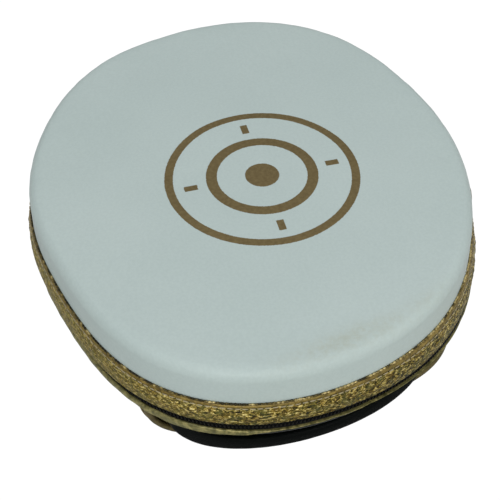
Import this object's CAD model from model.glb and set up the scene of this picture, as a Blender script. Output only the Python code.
import bpy, bmesh, math
import numpy as np
from mathutils import Vector, Matrix, noise


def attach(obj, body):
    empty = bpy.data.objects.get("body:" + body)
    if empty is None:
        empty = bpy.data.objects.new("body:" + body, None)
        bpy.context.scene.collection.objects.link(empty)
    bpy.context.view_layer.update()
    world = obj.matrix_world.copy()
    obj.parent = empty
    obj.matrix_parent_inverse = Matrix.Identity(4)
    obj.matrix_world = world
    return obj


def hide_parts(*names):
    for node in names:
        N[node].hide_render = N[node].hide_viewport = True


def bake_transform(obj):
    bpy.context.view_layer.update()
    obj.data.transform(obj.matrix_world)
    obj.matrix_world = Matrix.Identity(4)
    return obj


MM = 0.001
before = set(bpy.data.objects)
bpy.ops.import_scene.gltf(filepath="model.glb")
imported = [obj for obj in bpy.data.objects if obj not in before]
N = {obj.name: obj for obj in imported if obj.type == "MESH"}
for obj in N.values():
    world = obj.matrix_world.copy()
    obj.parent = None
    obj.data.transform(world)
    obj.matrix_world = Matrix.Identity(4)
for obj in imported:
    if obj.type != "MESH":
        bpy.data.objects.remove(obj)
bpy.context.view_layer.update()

# ------------------------------------------------------------------ design numbers (mm)
FACE_Z = 79.5
COS = [98.77, -0.82, 8.43, -0.59, -0.31, -0.03, -0.72, -0.06]
SIN = [0.0, -0.43, 1.46, -0.06, 1.26, -0.16, 0.07, 0.08]
EDGE = [(-4.95, 0.0), (-3.41, -0.30), (-2.06, -1.17), (-1.13, -2.35), (-0.62, -3.62),
        (-0.45, -5.0), (-0.38, -6.8), (-0.30, -8.8), (-0.20, -10.8), (-0.10, -12.9), (0.0, -15.0)]
SEAM_Z = FACE_Z - 15.0
GOLD_LOW_Z = FACE_Z - 24.4
ZIP_LOW_Z = FACE_Z - 29.9
RIM_LOW_Z = FACE_Z - 33.2
PANEL_Z = (RIM_LOW_Z - 1.9, RIM_LOW_Z - 0.1)
COVER_TOP = PANEL_Z[0] - 0.15
COVER = [(-76.0, -0.25, 62.5, 5.85), (-56.0, -0.25, 62.5, 5.85), (-38.0, -0.25, 62.5, 5.85),
         (-32.0, 0.0, 62.9, 5.4), (-26.0, 0.3, 63.6, 4.2), (-20.0, 0.6, 64.3, 2.5),
         (-14.0, 0.9, 64.9, 0.9), (-8.0, 1.1, 65.2, -0.1), (0.0, 1.2, 65.2, -0.7),
         (14.0, 1.2, 64.8, -0.7), (26.0, 1.2, 63.6, -0.4), (36.0, 1.0, 61.8, 0.6),
         (46.0, 0.8, 58.8, 3.0), (55.0, 0.5, 54.8, 6.8), (63.0, 0.2, 50.0, 11.8),
         (70.0, 0.0, 44.6, 17.8), (76.0, 0.0, 38.6, 24.8), (80.5, 0.0, 33.2, 31.5)]
CUFF = [(-90.3, -4.4, 50.4, 7.6), (-80.0, -4.4, 50.4, 7.6), (-72.0, -3.8, 51.2, 7.9),
        (-62.0, -3.3, 52.0, 7.9), (-52.0, -2.8, 52.8, 7.9), (-42.0, -2.3, 53.6, 7.9),
        (-30.0, -2.3, 53.6, 7.9)]
CUFF_P = 2.0
HINGE_X, HINGE_Z = 45.0, 6.40
STRAP_Y = (-74.0, -36.0)
FLAP_END_X = -50.0
THUMB_Y = (-16.0, 22.0)


# ------------------------------------------------------------------ mesh helpers
def waist(th):
    """how far the strike face sits in from the rim on the thumb side, in mm"""
    g = np.degrees(th) % 360
    return np.interp(g, [5, 35, 60, 90, 118, 135, 150], [0, 0.9, 1.1, 1.1, 0.9, 0.45, 0])


def radius(th):
    r = sum(c * np.cos(k * th) for k, c in enumerate(COS))
    return r + sum(s * np.sin(k * th) for k, s in enumerate(SIN))


def arclength_grid(n, off=0.0):
    """n outline angles, evenly spaced along the rim"""
    th = np.linspace(0, 2 * np.pi, 7201)
    r = radius(th) + off
    x, y = r * np.sin(th), r * np.cos(th)
    s = np.concatenate([[0], np.cumsum(np.hypot(np.diff(x), np.diff(y)))])
    return np.interp(np.arange(n) / n * s[-1], s, th), s[-1]


def link(name, verts, faces, smooth=True, uvs=None):
    me = bpy.data.meshes.new(name)
    me.from_pydata([tuple(v) for v in np.asarray(verts, float) * MM], [], faces)
    me.validate()
    if uvs is not None:
        lay = me.uv_layers.new(name="UVMap")
        flat = np.asarray([c for f in uvs for c in f], np.float32)
        if len(flat) == len(me.loops):
            lay.data.foreach_set("uv", flat.ravel())
    o = bpy.data.objects.new(name, me)
    bpy.context.scene.collection.objects.link(o)
    if smooth:
        me.polygons.foreach_set("use_smooth", [True] * len(me.polygons))
    return o


def recalc(o):
    bm = bmesh.new()
    bm.from_mesh(o.data)
    bmesh.ops.recalc_face_normals(bm, faces=bm.faces[:])
    bm.to_mesh(o.data)
    bm.free()
    return o


def sweep(name, prof, n, disp=None, th=None):
    """closed profile [(offset, z)] swept round the rim; disp(s_mm, k, th) moves a point outwards"""
    if th is None:
        th, L = arclength_grid(n)
    else:
        L = 642.0
    m = len(prof)
    p = np.array(prof, float)
    r = radius(th)
    off = p[None, :, 0] + np.zeros((n, 1))
    z = p[None, :, 1] + np.zeros((n, 1))
    if disp is not None:
        d_off, d_z = disp(th, L, m)
        off = off + d_off
        z = z + d_z
    R = r[:, None] + off
    X = R * np.sin(th)[:, None]
    Y = R * np.cos(th)[:, None]
    v = np.stack([X, Y, z], -1).reshape(-1, 3)
    pl = np.concatenate([[0], np.cumsum(np.hypot(*np.diff(np.vstack([p, p[:1]]), axis=0).T))])
    faces, uvs = [], []
    for i in range(n):
        a, b = i * m, ((i + 1) % n) * m
        u0, u1 = i / n * L * MM, (i + 1) / n * L * MM
        for j in range(m):
            k = (j + 1) % m
            faces.append((a + j, b + j, b + k, a + k))
            w0, w1 = pl[j] * MM, pl[j + 1] * MM
            uvs.append(((u0, w0), (u1, w0), (u1, w1), (u0, w1)))
    return recalc(link(name, v, faces, uvs=uvs))


def capsule_run(name, pts, tans, nors, length, rad, squash=1.0, seg=6, rings=5):
    """many small capsules (thread stitches) as one mesh, along pts; sizes in mm"""
    unit, faces = [], []
    for i in range(rings + 2):
        a = math.pi * i / (rings + 1)
        rr = math.sin(a) ** 0.6 if 0 < i < rings + 1 else 0.0
        xx = -math.cos(a)
        if i in (0, rings + 1):
            unit.append((xx, 0, 0))
        else:
            for j in range(seg):
                b = 2 * math.pi * j / seg
                unit.append((xx, rr * math.cos(b), rr * math.sin(b)))
    for j in range(seg):
        faces.append((0, 1 + (j + 1) % seg, 1 + j))
    for i in range(rings - 1):
        a, b = 1 + i * seg, 1 + (i + 1) * seg
        for j in range(seg):
            k = (j + 1) % seg
            faces.append((a + j, a + k, b + k, b + j))
    last = len(unit) - 1
    a = 1 + (rings - 1) * seg
    for j in range(seg):
        faces.append((a + j, a + (j + 1) % seg, last))
    unit = np.array(unit)
    P, T, Q = (np.asarray(q, float) for q in (pts, tans, nors))
    T /= np.linalg.norm(T, axis=1)[:, None]
    Q = Q - (Q * T).sum(1)[:, None] * T
    Q /= np.linalg.norm(Q, axis=1)[:, None]
    B = np.cross(T, Q)
    v = (P[:, None] + T[:, None] * unit[None, :, :1] * length / 2 + Q[:, None] * unit[None, :, 1:2] * rad * squash
         + B[:, None] * unit[None, :, 2:3] * rad)
    nf = []
    k = len(unit)
    for i in range(len(P)):
        nf += [tuple(q + i * k for q in f) for f in faces]
    return recalc(link(name, v.reshape(-1, 3), nf))


def rim_frame(pitch, off, z, slope=0.0, phase=0.0):
    """points, tangents and outward normals along the rim, one every pitch mm"""
    _, L = arclength_grid(16, off)
    n = int(round(L / pitch))
    th, L = arclength_grid(n, off)
    th = th + phase * 2 * np.pi / n
    e = 1e-4
    f = lambda t: np.stack([(radius(t) + off) * np.sin(t), (radius(t) + off) * np.cos(t), np.full_like(t, z)], -1)
    P = f(th)
    T = f(th + e) - f(th - e)
    T /= np.linalg.norm(T, axis=1)[:, None]
    O = np.cross(T, np.array([0, 0, 1.0]))
    O *= np.sign((O[:, :2] * P[:, :2]).sum(1))[:, None]
    O[:, 2] = slope
    return P, T, O


def dsec(xc, a, zb, top, t, p=3.0):
    c, s = np.cos(t), np.sin(t)
    x = xc - a * np.sign(c) * np.abs(c) ** (2 / p)
    z = top - (top - zb) * np.abs(s) ** (2 / p)
    return x, z


def stations(table, ys):
    tb = np.array(table)
    return [np.interp(ys, tb[:, 0], tb[:, k]) for k in (1, 2, 3)]


def smooth_table(table, ys):
    """like stations, with the corners between the CAD stations rounded"""
    dense = np.linspace(min(ys), max(ys), 400)
    out = []
    tb = np.array(table)
    for k in (1, 2, 3):
        v = np.interp(dense, tb[:, 0], tb[:, k])
        w = 13
        pad = np.concatenate([np.full(w, v[0]), v, np.full(w, v[-1])])
        ker = np.hanning(2 * w + 1); ker /= ker.sum()
        v = np.convolve(pad, ker, "same")[w:-w]
        out.append(np.interp(ys, dense, v))
    return out


def nz(x, y, z, s=1.0, seed=0.0):
    return noise.noise(Vector((x * s + seed, y * s - seed, z * s + 2 * seed)))


def apply_mods(o):
    dg = bpy.context.evaluated_depsgraph_get()
    me = bpy.data.meshes.new_from_object(o.evaluated_get(dg))
    o.modifiers.clear()
    o.data = me
    return o


def cleanup(o, dist=1e-6):
    bm = bmesh.new()
    bm.from_mesh(o.data)
    bmesh.ops.remove_doubles(bm, verts=bm.verts[:], dist=dist)
    bmesh.ops.recalc_face_normals(bm, faces=bm.faces[:])
    bm.to_mesh(o.data)
    bm.free()
    return o


# ------------------------------------------------------------------ material helpers
class Mat:
    def __init__(self, name):
        self.m = bpy.data.materials.new(name)
        self.m.use_nodes = True
        self.t = self.m.node_tree
        self.t.nodes.clear()
        self.out = self.t.nodes.new("ShaderNodeOutputMaterial")
        self.b = self.t.nodes.new("ShaderNodeBsdfPrincipled")
        self.t.links.new(self.b.outputs[0], self.out.inputs[0])
        self.tc = self.t.nodes.new("ShaderNodeTexCoord")

    def node(self, kind, **kw):
        n = self.t.nodes.new(kind)
        for k, v in kw.items():
            if k.startswith("i_"):
                n.inputs[k[2:].replace("_", " ")].default_value = v
            else:
                setattr(n, k, v)
        return n

    def link(self, a, b):
        self.t.links.new(a, b)

    def set(self, **kw):
        for k, v in kw.items():
            self.b.inputs[k.replace("_", " ")].default_value = v

    def obj(self):
        return self.tc.outputs["Object"]

    def uv(self):
        return self.tc.outputs["UV"]

    def scaled(self, src, s):
        mp = self.node("ShaderNodeMapping")
        mp.inputs["Scale"].default_value = s
        self.link(src, mp.inputs["Vector"])
        return mp.outputs[0]

    def noise(self, src, scale, detail=3.0, rough=0.55, dist=0.0):
        n = self.node("ShaderNodeTexNoise")
        n.inputs["Scale"].default_value = scale
        n.inputs["Detail"].default_value = detail
        n.inputs["Roughness"].default_value = rough
        n.inputs["Distortion"].default_value = dist
        self.link(src, n.inputs["Vector"])
        return n.outputs[0]

    def voronoi(self, src, scale, feature="F1", rand=1.0, out="Distance"):
        n = self.node("ShaderNodeTexVoronoi", feature=feature)
        n.inputs["Scale"].default_value = scale
        n.inputs["Randomness"].default_value = rand
        self.link(src, n.inputs["Vector"])
        return n.outputs[out]

    def math(self, op, a, b=None, c=None, clamp=False):
        n = self.node("ShaderNodeMath", operation=op, use_clamp=clamp)
        for i, v in enumerate((a, b, c)):
            if v is None:
                continue
            if isinstance(v, (int, float)):
                n.inputs[i].default_value = v
            else:
                self.link(v, n.inputs[i])
        return n.outputs[0]

    def ramp(self, fac, stops, interp="LINEAR"):
        n = self.node("ShaderNodeValToRGB")
        n.color_ramp.interpolation = interp
        e = n.color_ramp.elements
        while len(e) < len(stops):
            e.new(0.5)
        for el, (p, c) in zip(e, stops):
            el.position = p
            el.color = (*c, 1.0) if len(c) == 3 else c
        self.link(fac, n.inputs[0])
        return n.outputs[0]

    def mix(self, fac, a, b, blend="MIX"):
        n = self.node("ShaderNodeMix", data_type="RGBA", blend_type=blend)
        for i, v in ((0, fac), (6, a), (7, b)):
            if isinstance(v, (int, float)):
                n.inputs[i].default_value = v
            elif isinstance(v, tuple):
                n.inputs[i].default_value = (*v, 1.0) if len(v) == 3 else v
            else:
                self.link(v, n.inputs[i])
        return n.outputs[2]

    def remap(self, v, a, b, c, d):
        n = self.node("ShaderNodeMapRange")
        n.inputs[1].default_value = a; n.inputs[2].default_value = b
        n.inputs[3].default_value = c; n.inputs[4].default_value = d
        self.link(v, n.inputs[0])
        return n.outputs[0]

    def bump(self, h, strength=0.3, dist=0.0002, prev=None):
        n = self.node("ShaderNodeBump")
        n.inputs["Strength"].default_value = strength
        n.inputs["Distance"].default_value = dist
        self.link(h, n.inputs["Height"])
        if prev is not None:
            self.link(prev, n.inputs["Normal"])
        return n.outputs[0]

    def color(self, c): self.link(c, self.b.inputs["Base Color"])
    def rough(self, c): self.link(c, self.b.inputs["Roughness"])
    def metal(self, c): self.link(c, self.b.inputs["Metallic"])
    def normal(self, c): self.link(c, self.b.inputs["Normal"])


def paint(o, mat):
    o.data.materials.clear()
    o.data.materials.append(mat.m if isinstance(mat, Mat) else mat)


# ------------------------------------------------------------------ materials
WHITE = (0.60, 0.68, 0.66)


def mat_face():
    m = Mat("strike_face_leather")
    o = m.obj()
    sep = m.node("ShaderNodeSeparateXYZ"); m.link(o, sep.inputs[0])
    X = m.math("MULTIPLY", sep.outputs[0], 1000.0)
    Y = m.math("MULTIPLY", sep.outputs[1], 1000.0)
    Z = m.math("MULTIPLY", sep.outputs[2], 1000.0)
    # leather ground: faint clouding, finer mottling
    cloud = m.noise(o, 14, 3)
    base = m.ramp(cloud, [(0.3, (0.480, 0.575, 0.560)), (0.7, (0.510, 0.603, 0.588))])
    fine = m.noise(o, 900, 2)
    base = m.mix(0.10, base, m.ramp(fine, [(0.35, (0.37, 0.455, 0.445)), (0.65, (0.64, 0.73, 0.71))]))

    def gauss(cx, cy, ax, ay, rot):
        c, s = math.cos(rot), math.sin(rot)
        dx = m.math("SUBTRACT", X, cx); dy = m.math("SUBTRACT", Y, cy)
        u = m.math("ADD", m.math("MULTIPLY", dx, c / ax), m.math("MULTIPLY", dy, s / ax))
        v = m.math("ADD", m.math("MULTIPLY", dx, -s / ay), m.math("MULTIPLY", dy, c / ay))
        q = m.math("ADD", m.math("POWER", m.math("ABSOLUTE", u), 2.0), m.math("POWER", m.math("ABSOLUTE", v), 2.0))
        return m.math("EXPONENT", m.math("MULTIPLY", q, -1.0))

    # yellowish scuff on the wrist-side shoulder, with a speckled edge
    scuff = m.math("MAXIMUM", gauss(12, -98, 24, 4.5, 0.2), m.math("MULTIPLY", gauss(44, -88, 15, 4, 0.45), 0.5))
    spk = m.remap(m.noise(o, 420, 4, 0.7), 0.40, 0.62, 0.0, 1.0)
    scuff = m.math("MULTIPLY", scuff, m.math("ADD", m.math("MULTIPLY", spk, 0.7), 0.3), clamp=True)
    base = m.mix(m.math("MULTIPLY", scuff, 0.34), base, (0.36, 0.35, 0.21))
    # a few tiny dark specks
    vor = m.voronoi(o, 42.0)
    speck = m.math("LESS_THAN", vor, 0.014)
    base = m.mix(m.math("MULTIPLY", speck, 0.55), base, (0.16, 0.17, 0.15))

    # plain printed target: two rings, a dot and four short ticks
    cx, cy = 3.0, -8.0
    px = m.math("SUBTRACT", X, cx); py = m.math("SUBTRACT", Y, cy)
    rr = m.math("SQRT", m.math("ADD", m.math("POWER", m.math("ABSOLUTE", px), 2.0), m.math("POWER", m.math("ABSOLUTE", py), 2.0)))
    wob = m.math("MULTIPLY", m.math("SUBTRACT", m.noise(o, 1500, 2), 0.5), 0.5)
    rw = m.math("ADD", rr, wob)

    def ring(r0, r1):
        mid, half = (r0 + r1) / 2, (r1 - r0) / 2
        d = m.math("SUBTRACT", m.math("ABSOLUTE", m.math("SUBTRACT", rw, mid)), half)
        return m.math("SUBTRACT", 1.0, m.remap(d, -0.08, 0.08, 0.0, 1.0))

    ax = m.math("ABSOLUTE", px); ay = m.math("ABSOLUTE", py)
    dot = m.math("SUBTRACT", 1.0, m.remap(rw, 6.9, 7.1, 0.0, 1.0))
    r1 = ring(18.5, 23.0)
    r2 = ring(36.5, 40.0)
    tick_x = m.math("MULTIPLY", m.math("LESS_THAN", ay, 1.5), m.math("MULTIPLY", m.math("GREATER_THAN", rw, 27.0), m.math("LESS_THAN", rw, 32.5)))
    tick_y = m.math("MULTIPLY", m.math("LESS_THAN", ax, 1.5), m.math("MULTIPLY", m.math("GREATER_THAN", rw, 27.0), m.math("LESS_THAN", rw, 32.5)))
    ink = m.math("MAXIMUM", m.math("MAXIMUM", dot, r1), m.math("MAXIMUM", r2, m.math("MAXIMUM", tick_x, tick_y)))
    top = m.math("GREATER_THAN", Z, FACE_Z - 6.0)
    ink = m.math("MULTIPLY", ink, top, clamp=True)
    ink_col = m.ramp(m.noise(o, 700, 3), [(0.3, (0.145, 0.105, 0.042)), (0.7, (0.205, 0.155, 0.066))])
    col = m.mix(ink, base, ink_col)
    m.color(col)
    r = m.remap(m.noise(o, 60, 3), 0.3, 0.7, 0.40, 0.47)
    m.rough(m.math("SUBTRACT", r, m.math("MULTIPLY", ink, 0.08)))
    m.metal(m.math("MULTIPLY", ink, 0.35))
    g = m.math("ADD", m.math("MULTIPLY", m.voronoi(o, 1500, "F1"), 0.6), m.math("MULTIPLY", m.noise(o, 2600, 2), 0.4))
    n1 = m.bump(g, 0.07, 0.0002)
    n2 = m.bump(m.noise(o, 45, 2), 0.10, 0.002, n1)
    n3 = m.bump(ink, 0.25, 0.00008, n2)
    m.normal(n3)
    m.set(Specular_IOR_Level=0.28, Sheen_Weight=0.06, Sheen_Roughness=0.4)
    return m


def mat_gold_metal():
    """crinkled metallic gold synthetic leather"""
    m = Mat("gold_metallic_leather")
    u = m.uv()
    su = m.scaled(u, (1.0, 2.2, 1.0))
    crk = m.noise(su, 560, 4, 0.66, 0.6)
    fine = m.noise(su, 1800, 3, 0.7)
    cells = m.voronoi(su, 850, "F1")
    glint = m.voronoi(m.scaled(u, (1.0, 2.0, 1.0)), 700, "F1")
    h = m.math("ADD", m.math("MULTIPLY", crk, 0.8), m.math("ADD", m.math("MULTIPLY", fine, 0.35), m.math("MULTIPLY", cells, 0.25)))
    key = m.math("ADD", m.math("MULTIPLY", crk, 0.72), m.math("MULTIPLY", fine, 0.28))
    tone = m.ramp(key, [(0.435, (0.005, 0.004, 0.001)), (0.475, (0.066, 0.052, 0.009)), (0.515, (0.225, 0.166, 0.026)),
                        (0.55, (0.56, 0.405, 0.078)), (0.59, (1.0, 0.85, 0.36))])
    hue = m.noise(m.scaled(u, (1, 1, 1)), 280, 3, 0.6)
    tone = m.mix(m.remap(hue, 0.53, 0.67, 0.0, 0.42), tone, (0.29, 0.170, 0.030), "MIX")
    tone = m.mix(m.remap(hue, 0.49, 0.37, 0.0, 0.60), tone, (0.125, 0.128, 0.030), "MIX")
    spot = m.math("MULTIPLY", m.math("LESS_THAN", glint, 0.17), m.remap(key, 0.48, 0.56, 0.0, 1.0), clamp=True)
    tone = m.mix(m.math("MULTIPLY", spot, 0.8), tone, (0.95, 0.80, 0.48))
    # the band is duller towards the zip
    sep = m.node("ShaderNodeSeparateXYZ"); m.link(m.obj(), sep.inputs[0])
    low_end = m.remap(sep.outputs[2], (SEAM_Z - 4.5) * MM, (GOLD_LOW_Z + 0.6) * MM, 0.04, 0.28)
    tone = m.mix(low_end, tone, (0.060, 0.056, 0.018), "MIX")
    tone = m.mix(m.remap(sep.outputs[0], -0.03, -0.085, 0.0, 0.30), tone, (0.42, 0.335, 0.085), "MIX")
    m.color(tone)
    m.metal(m.remap(key, 0.44, 0.58, 0.34, 0.66))
    m.rough(m.remap(fine, 0.35, 0.65, 0.28, 0.48))
    m.normal(m.bump(h, 0.8, 0.0007))
    m.set(Specular_IOR_Level=0.20)
    return m


def mat_gold_plain(name="gold_leather", dark=1.0):
    """smoother olive-gold synthetic leather"""
    m = Mat(name)
    o = m.obj()
    g = m.voronoi(o, 1300, "F1")
    f = m.noise(o, 500, 4, 0.6)
    tone = m.ramp(f, [(0.38, tuple(dark * c for c in (0.125, 0.096, 0.030))), (0.62, tuple(dark * c for c in (0.225, 0.175, 0.062)))])
    cl = m.noise(o, 35, 3)
    tone = m.mix(m.remap(cl, 0.35, 0.65, 0.0, 0.25), tone, tuple(dark * c for c in (0.115, 0.105, 0.036)))
    m.color(tone)
    m.metal(m.remap(f, 0.3, 0.7, 0.35, 0.55))
    m.rough(m.remap(f, 0.3, 0.7, 0.34, 0.50))
    n1 = m.bump(g, 0.22, 0.00025)
    n2 = m.bump(m.noise(o, 180, 3), 0.15, 0.0008, n1)
    m.normal(n2)
    m.set(Specular_IOR_Level=0.5)
    return m


def mat_gold_bead():
    """worn metallic cord: bright beads with dull gaps, brighter on the thumb side"""
    m = Mat("gold_bead_piping")
    o = m.obj()
    sep = m.node("ShaderNodeSeparateXYZ"); m.link(o, sep.inputs[0])
    f = m.math("ADD", m.noise(o, 260, 3, 0.6), m.remap(sep.outputs[0], -0.04, 0.03, -0.08, 0.08))
    m.color(m.ramp(f, [(0.40, (0.030, 0.024, 0.008)), (0.50, (0.16, 0.12, 0.035)), (0.58, (0.56, 0.45, 0.20))]))
    m.set(Metallic=0.4, Roughness=0.38, Specular_IOR_Level=0.35)
    return m


def mat_gold_strip():
    """smooth brown-gold leather edge"""
    m = Mat("gold_smooth_strip")
    o = m.obj()
    f = m.noise(o, 420, 4, 0.6)
    c = m.noise(o, 60, 3)
    tone = m.ramp(f, [(0.36, (0.105, 0.070, 0.014)), (0.50, (0.22, 0.152, 0.032)), (0.64, (0.38, 0.27, 0.070))])
    m.color(m.mix(m.remap(c, 0.35, 0.65, 0.0, 0.35), tone, (0.20, 0.160, 0.045)))
    m.metal(m.remap(f, 0.3, 0.7, 0.25, 0.45))
    m.rough(m.remap(f, 0.3, 0.7, 0.36, 0.5))
    m.normal(m.bump(m.noise(o, 300, 3), 0.2, 0.0005))
    m.set(Specular_IOR_Level=0.4)
    return m


def mat_gold_lower():
    """mottled olive-gold leather of the strip under the zip"""
    m = Mat("gold_lower_leather")
    o = m.obj()
    f = m.noise(o, 520, 4, 0.65)
    c = m.noise(o, 140, 3, 0.6)
    tone = m.ramp(f, [(0.38, (0.075, 0.070, 0.020)), (0.50, (0.200, 0.182, 0.060)), (0.62, (0.42, 0.365, 0.145))])
    m.color(m.mix(m.remap(c, 0.35, 0.65, 0.0, 0.5), tone, (0.24, 0.225, 0.095)))
    m.metal(m.remap(f, 0.3, 0.7, 0.25, 0.5))
    m.rough(m.remap(f, 0.3, 0.7, 0.34, 0.5))
    m.normal(m.bump(f, 0.5, 0.0005))
    m.set(Specular_IOR_Level=0.4)
    return m


def mat_thread(name, c):
    m = Mat(name)
    o = m.obj()
    w = m.node("ShaderNodeTexWave"); w.inputs["Scale"].default_value = 1400; w.inputs["Distortion"].default_value = 1.5
    m.link(o, w.inputs["Vector"])
    m.color(m.mix(w.outputs["Fac"], tuple(0.6 * q for q in c), c))
    m.set(Roughness=0.5, Metallic=0.15, Sheen_Weight=0.3)
    m.normal(m.bump(w.outputs["Fac"], 0.3, 0.0001))
    return m


def mat_black_leather():
    m = Mat("black_leather")
    o = m.obj()
    cell = m.voronoi(o, 900, "DISTANCE_TO_EDGE")
    f = m.noise(o, 260, 3)
    m.color(m.ramp(f, [(0.3, (0.0005, 0.0013, 0.0011)), (0.7, (0.0016, 0.0028, 0.0024))]))
    m.rough(m.remap(f, 0.3, 0.7, 0.42, 0.62))
    n1 = m.bump(m.remap(cell, 0.0, 0.12, 0.0, 1.0), 0.35, 0.0002)
    m.normal(m.bump(m.noise(o, 90, 3), 0.25, 0.001, n1))
    m.set(Specular_IOR_Level=0.07)
    return m


def mat_mesh(name="black_spacer_mesh", pitch=0.0021, c0=(0.0015, 0.0022, 0.002), c1=(0.008, 0.011, 0.0095)):
    """knitted spacer mesh: rows of small round holes"""
    m = Mat(name)
    o = m.obj()
    v = m.voronoi(o, 1.0 / pitch, "F1", 0.25)
    hole = m.remap(v, 0.28, 0.46, 0.0, 1.0)
    yarn = m.noise(o, 3500, 2)
    col = m.mix(hole, c0, c1)
    col = m.mix(m.math("MULTIPLY", yarn, 0.35), col, tuple(1.7 * q for q in c1))
    m.color(col)
    m.set(Roughness=0.85, Sheen_Weight=0.15, Sheen_Roughness=0.5, Specular_IOR_Level=0.2)
    n1 = m.bump(hole, 0.7, 0.0005)
    m.normal(m.bump(yarn, 0.3, 0.0002, n1))
    return m


def mat_weave(name, c0, c1, pitch=0.0008):
    m = Mat(name)
    u = m.obj()
    s = 2 * math.pi / pitch
    sep = m.node("ShaderNodeSeparateXYZ"); m.link(u, sep.inputs[0])
    a = m.math("SINE", m.math("MULTIPLY", m.math("ADD", sep.outputs[0], sep.outputs[2]), s))
    b = m.math("SINE", m.math("MULTIPLY", sep.outputs[1], s))
    h = m.math("ADD", m.math("MULTIPLY", m.math("MULTIPLY", a, b), 0.5), 0.5)
    n = m.noise(u, 900, 3)
    m.color(m.mix(m.math("MULTIPLY", m.math("ADD", h, n), 0.5), c0, c1))
    m.set(Roughness=0.8, Sheen_Weight=0.2, Specular_IOR_Level=0.25)
    m.normal(m.bump(h, 0.5, 0.0003))
    return m


def mat_nylon():
    m = Mat("zip_coil_nylon")
    o = m.obj()
    f = m.noise(o, 800, 2)
    m.color(m.ramp(f, [(0.3, (0.0005, 0.0006, 0.0006)), (0.7, (0.0018, 0.0020, 0.0021))]))
    m.rough(m.remap(f, 0.3, 0.7, 0.25, 0.4))
    m.normal(m.bump(m.noise(o, 2500, 2), 0.1, 0.0001))
    m.set(Specular_IOR_Level=0.07)
    return m


def mat_enamel():
    m = Mat("black_enamel_zinc")
    o = m.obj()
    f = m.noise(o, 500, 4, 0.65)
    geo = m.node("ShaderNodeNewGeometry")
    edge = m.remap(geo.outputs["Pointiness"], 0.53, 0.60, 0.0, 1.0)
    wear = m.math("MULTIPLY", edge, m.remap(f, 0.45, 0.6, 0.0, 1.0), clamp=True)
    m.color(m.mix(wear, (0.02, 0.02, 0.022), (0.35, 0.33, 0.30)))
    m.metal(m.math("MAXIMUM", wear, 0.3))
    m.rough(m.remap(f, 0.3, 0.7, 0.22, 0.4))
    m.normal(m.bump(f, 0.08, 0.0002))
    return m


def mat_foam(name, c0, c1, scale=700, rough=0.9, sss=0.0):
    m = Mat(name)
    o = m.obj()
    v = m.voronoi(o, scale, "F1")
    f = m.noise(o, 120, 3)
    m.color(m.mix(m.math("MULTIPLY", m.math("ADD", v, f), 0.5), c0, c1))
    m.set(Roughness=rough)
    m.normal(m.bump(v, 0.5, 0.0004))
    return m


def mat_pile(name, c0, c1):
    m = Mat(name)
    o = m.obj()
    f = m.noise(o, 1400, 5, 0.75)
    m.color(m.mix(f, c0, c1))
    m.set(Roughness=0.95, Sheen_Weight=0.8, Sheen_Roughness=0.35, Specular_IOR_Level=0.1)
    m.normal(m.bump(f, 0.9, 0.0008))
    return m


M_FACE = mat_face()
M_GOLDM = mat_gold_metal()
M_GOLD = mat_gold_plain("gold_leather", 1.3)
M_BEAD = mat_gold_bead()
M_STRIP = mat_gold_strip()
M_THREAD = mat_thread("gold_thread", (0.50, 0.42, 0.24))
M_THREADL = mat_thread("olive_thread", (0.22, 0.20, 0.09))
M_THREADB = mat_thread("black_thread", (0.03, 0.03, 0.03))
M_BLACK = mat_black_leather()
M_MESH = mat_mesh()
M_LINING = mat_mesh("lining_mesh", 0.0014, (0.002, 0.003, 0.0027), (0.012, 0.015, 0.0135))
M_TAPE = mat_weave("zip_tape_weave", (0.0008, 0.0009, 0.0010), (0.0034, 0.0036, 0.0040))
M_TAPE.set(Sheen_Weight=0.03, Specular_IOR_Level=0.10)
M_NYLON = mat_nylon()
M_METAL = mat_enamel()
M_FOAM = mat_foam("core_foam", (0.50, 0.45, 0.33), (0.72, 0.67, 0.52))
M_FOAMB = mat_foam("impact_foam", (0.02, 0.02, 0.022), (0.06, 0.06, 0.065), 1100)
M_GEL = mat_foam("gel_sheet", (0.10, 0.20, 0.30), (0.18, 0.32, 0.45), 300, 0.35)
M_BOARD = mat_foam("stiffener_board", (0.012, 0.012, 0.012), (0.03, 0.03, 0.03), 1600, 0.6)
M_HOOK = mat_nylon()
M_PILE = mat_pile("loop_pile", (0.008, 0.008, 0.009), (0.04, 0.04, 0.042))

RIDE = "mitt"


def put(o, mat, body=RIDE, nodes=()):
    paint(o, mat)
    if nodes:
        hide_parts(*nodes)
    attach(o, body)
    return o


# ------------------------------------------------------------------ strike face
def catmull(pts, k):
    p = np.array([2 * np.array(pts[0]) - np.array(pts[1])] + [np.array(q) for q in pts] + [2 * np.array(pts[-1]) - np.array(pts[-2])], float)
    out = []
    for i in range(1, len(p) - 2):
        for j in range(k):
            t = j / k
            a, b, c, d = p[i - 1], p[i], p[i + 1], p[i + 2]
            out.append(0.5 * ((2 * b) + (c - a) * t + (2 * a - 5 * b + 4 * c - d) * t * t + (3 * b - a - 3 * c + d) * t ** 3))
    out.append(p[-2])
    return np.array(out)


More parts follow.
